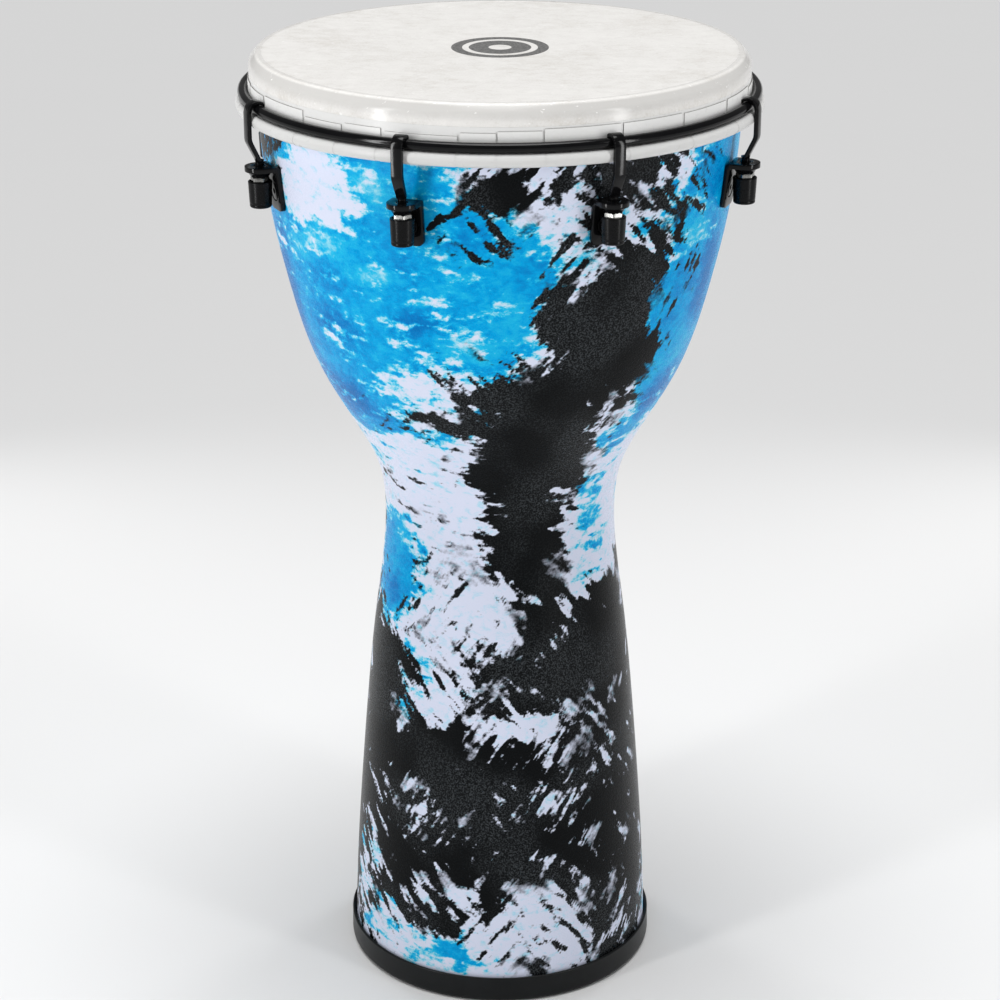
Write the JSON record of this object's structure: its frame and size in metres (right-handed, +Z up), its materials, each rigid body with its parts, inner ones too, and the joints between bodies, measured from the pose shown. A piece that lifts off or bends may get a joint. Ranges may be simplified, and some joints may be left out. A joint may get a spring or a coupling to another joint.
{
  "type": "djembe",
  "caption": "Goblet-shaped hand drum: tie-dye printed shell, hooped skin, tension ring drawn down by claw hooks with capped tuning nuts, and a rubber foot ring.",
  "frame": {"origin": "centre of the foot, on the surface the drum stands on", "axes": "+Z up along the drum's axis; -Y is the front, midway between the second and third lugs to within two degrees"},
  "size_m": [0.3216, 0.3216, 0.61],
  "materials": {
    "printed_shell": "satin lacquer with a fine pebble grain over a tie-dye print in white, light and deep blue and black",
    "head_film": "coated film with a mottled fibre look, smoother and whiter on the collar and wrap",
    "hoop_steel": "plain steel rod, hidden in the wrap",
    "black_steel": "semi-gloss black powder coat",
    "zinc_steel": "bright zinc plate",
    "cap_rubber": "smooth satin black",
    "foot_rubber": "satin black rubber"
  },
  "bodies": {
    "drum": {"shell": "printed_shell", "foot_ring": "foot_rubber", "drumhead": "head_film", "flesh_hoop": "hoop_steel", "counterhoop": "black_steel", "bracket_1": "black_steel", "bracket_2": "black_steel", "bracket_3": "black_steel", "bracket_4": "black_steel", "bracket_5": "black_steel", "bracket_6": "black_steel", "bracket_7": "black_steel", "bracket_8": "black_steel", "bracket_bolt_1": "black_steel", "bracket_bolt_2": "black_steel", "bracket_bolt_3": "black_steel", "bracket_bolt_4": "black_steel", "bracket_bolt_5": "black_steel", "bracket_bolt_6": "black_steel", "bracket_bolt_7": "black_steel", "bracket_bolt_8": "black_steel", "bracket_nut_1": "zinc_steel", "bracket_nut_2": "zinc_steel", "bracket_nut_3": "zinc_steel", "bracket_nut_4": "zinc_steel", "bracket_nut_5": "zinc_steel", "bracket_nut_6": "zinc_steel", "bracket_nut_7": "zinc_steel", "bracket_nut_8": "zinc_steel"},
    "nut_1": {"tuning_nut_1": "zinc_steel", "nut_cap_1": "cap_rubber"},
    "nut_2": {"tuning_nut_2": "zinc_steel", "nut_cap_2": "cap_rubber"},
    "nut_3": {"tuning_nut_3": "zinc_steel", "nut_cap_3": "cap_rubber"},
    "nut_4": {"tuning_nut_4": "zinc_steel", "nut_cap_4": "cap_rubber"},
    "nut_5": {"tuning_nut_5": "zinc_steel", "nut_cap_5": "cap_rubber"},
    "nut_6": {"tuning_nut_6": "zinc_steel", "nut_cap_6": "cap_rubber"},
    "nut_7": {"tuning_nut_7": "zinc_steel", "nut_cap_7": "cap_rubber"},
    "nut_8": {"tuning_nut_8": "zinc_steel", "nut_cap_8": "cap_rubber"},
    "hook_1": {"tuning_hook_1": "black_steel"},
    "hook_2": {"tuning_hook_2": "black_steel"},
    "hook_3": {"tuning_hook_3": "black_steel"},
    "hook_4": {"tuning_hook_4": "black_steel"},
    "hook_5": {"tuning_hook_5": "black_steel"},
    "hook_6": {"tuning_hook_6": "black_steel"},
    "hook_7": {"tuning_hook_7": "black_steel"},
    "hook_8": {"tuning_hook_8": "black_steel"}
  },
  "joints": [
    {"name": "tuning_hook_1_climb", "type": "slide", "parent": "drum", "child": "hook_1", "axis": [0, 0, 1], "range_m": [0, 0.0075]},
    {"name": "tuning_nut_1_turn", "type": "hinge", "parent": "drum", "child": "nut_1", "pos_m": [-0.14236, -0.06428, 0.544], "axis": [0, 0, 1], "range_deg": [-2700.01, 0]},
    {"name": "tuning_hook_2_climb", "type": "slide", "parent": "drum", "child": "hook_2", "axis": [0, 0, 1], "range_m": [0, 0.0075]},
    {"name": "tuning_nut_2_turn", "type": "hinge", "parent": "drum", "child": "nut_2", "pos_m": [-0.05521, -0.14612, 0.544], "axis": [0, 0, 1], "range_deg": [-2700.01, 0]},
    {"name": "tuning_hook_3_climb", "type": "slide", "parent": "drum", "child": "hook_3", "axis": [0, 0, 1], "range_m": [0, 0.0075]},
    {"name": "tuning_nut_3_turn", "type": "hinge", "parent": "drum", "child": "nut_3", "pos_m": [0.06428, -0.14236, 0.544], "axis": [0, 0, 1], "range_deg": [-2700.01, 0]},
    {"name": "tuning_hook_4_climb", "type": "slide", "parent": "drum", "child": "hook_4", "axis": [0, 0, 1], "range_m": [0, 0.0075]},
    {"name": "tuning_nut_4_turn", "type": "hinge", "parent": "drum", "child": "nut_4", "pos_m": [0.14612, -0.05521, 0.544], "axis": [0, 0, 1], "range_deg": [-2700.01, 0]},
    {"name": "tuning_hook_5_climb", "type": "slide", "parent": "drum", "child": "hook_5", "axis": [0, 0, 1], "range_m": [0, 0.0075]},
    {"name": "tuning_nut_5_turn", "type": "hinge", "parent": "drum", "child": "nut_5", "pos_m": [0.14236, 0.06428, 0.544], "axis": [0, 0, 1], "range_deg": [-2700.01, 0]},
    {"name": "tuning_hook_6_climb", "type": "slide", "parent": "drum", "child": "hook_6", "axis": [0, 0, 1], "range_m": [0, 0.0075]},
    {"name": "tuning_nut_6_turn", "type": "hinge", "parent": "drum", "child": "nut_6", "pos_m": [0.05521, 0.14612, 0.544], "axis": [0, 0, 1], "range_deg": [-2700.01, 0]},
    {"name": "tuning_hook_7_climb", "type": "slide", "parent": "drum", "child": "hook_7", "axis": [0, 0, 1], "range_m": [0, 0.0075]},
    {"name": "tuning_nut_7_turn", "type": "hinge", "parent": "drum", "child": "nut_7", "pos_m": [-0.06428, 0.14236, 0.544], "axis": [0, 0, 1], "range_deg": [-2700.01, 0]},
    {"name": "tuning_hook_8_climb", "type": "slide", "parent": "drum", "child": "hook_8", "axis": [0, 0, 1], "range_m": [0, 0.0075]},
    {"name": "tuning_nut_8_turn", "type": "hinge", "parent": "drum", "child": "nut_8", "pos_m": [-0.14612, 0.05521, 0.544], "axis": [0, 0, 1], "range_deg": [-2700.01, 0]}
  ],
  "couplings": [
    {"joint": "tuning_nut_1_turn", "follows": "tuning_hook_1_climb", "rad_per_m": -6283.2},
    {"joint": "tuning_nut_2_turn", "follows": "tuning_hook_2_climb", "rad_per_m": -6283.2},
    {"joint": "tuning_nut_3_turn", "follows": "tuning_hook_3_climb", "rad_per_m": -6283.2},
    {"joint": "tuning_nut_4_turn", "follows": "tuning_hook_4_climb", "rad_per_m": -6283.2},
    {"joint": "tuning_nut_5_turn", "follows": "tuning_hook_5_climb", "rad_per_m": -6283.2},
    {"joint": "tuning_nut_6_turn", "follows": "tuning_hook_6_climb", "rad_per_m": -6283.2},
    {"joint": "tuning_nut_7_turn", "follows": "tuning_hook_7_climb", "rad_per_m": -6283.2},
    {"joint": "tuning_nut_8_turn", "follows": "tuning_hook_8_climb", "rad_per_m": -6283.2}
  ]
}
